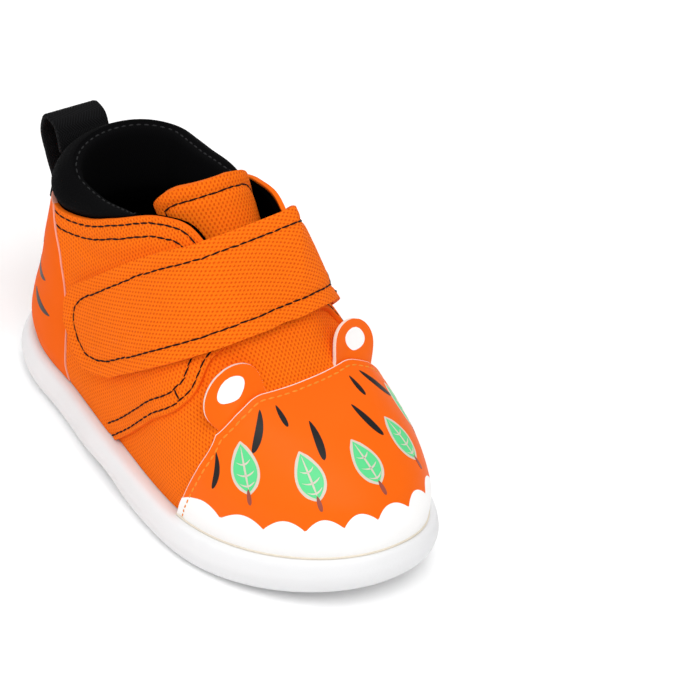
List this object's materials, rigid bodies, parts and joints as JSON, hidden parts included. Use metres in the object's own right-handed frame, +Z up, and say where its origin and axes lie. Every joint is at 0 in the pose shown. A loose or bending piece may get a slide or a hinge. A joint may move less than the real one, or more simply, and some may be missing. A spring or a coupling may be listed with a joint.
{
  "type": "child's strap shoe",
  "caption": "Small child's ankle-high canvas shoe with a hook-and-loop instep strap, smooth toe cap with two rounded tabs, padded collar, heel pull loop and moulded sole.",
  "frame": {"origin": "middle of the shoe's box, on the floor that it stands on", "axes": "+X towards the toe, +Y towards the inner side of the foot, +Z up"},
  "size_m": [0.1506, 0.073, 0.0915],
  "materials": {
    "sole_rubber": "matt white moulded foam rubber",
    "lining": "black textile",
    "canvas": "orange woven canvas",
    "coated_sheet": "orange coated synthetic, semi-gloss",
    "jersey": "black jersey over foam",
    "webbing": "black woven webbing"
  },
  "bodies": {
    "root": {"outsole": "sole_rubber", "insole": "lining", "upper": "canvas", "toe_cap": "coated_sheet", "heel_counter": "coated_sheet", "outer_quarter": "canvas", "inner_quarter": "canvas", "collar": "jersey", "tongue": "canvas", "strap": "canvas", "pull_loop": "webbing", "outer_ear_tab": "coated_sheet", "inner_ear_tab": "coated_sheet"}
  },
  "joints": []
}
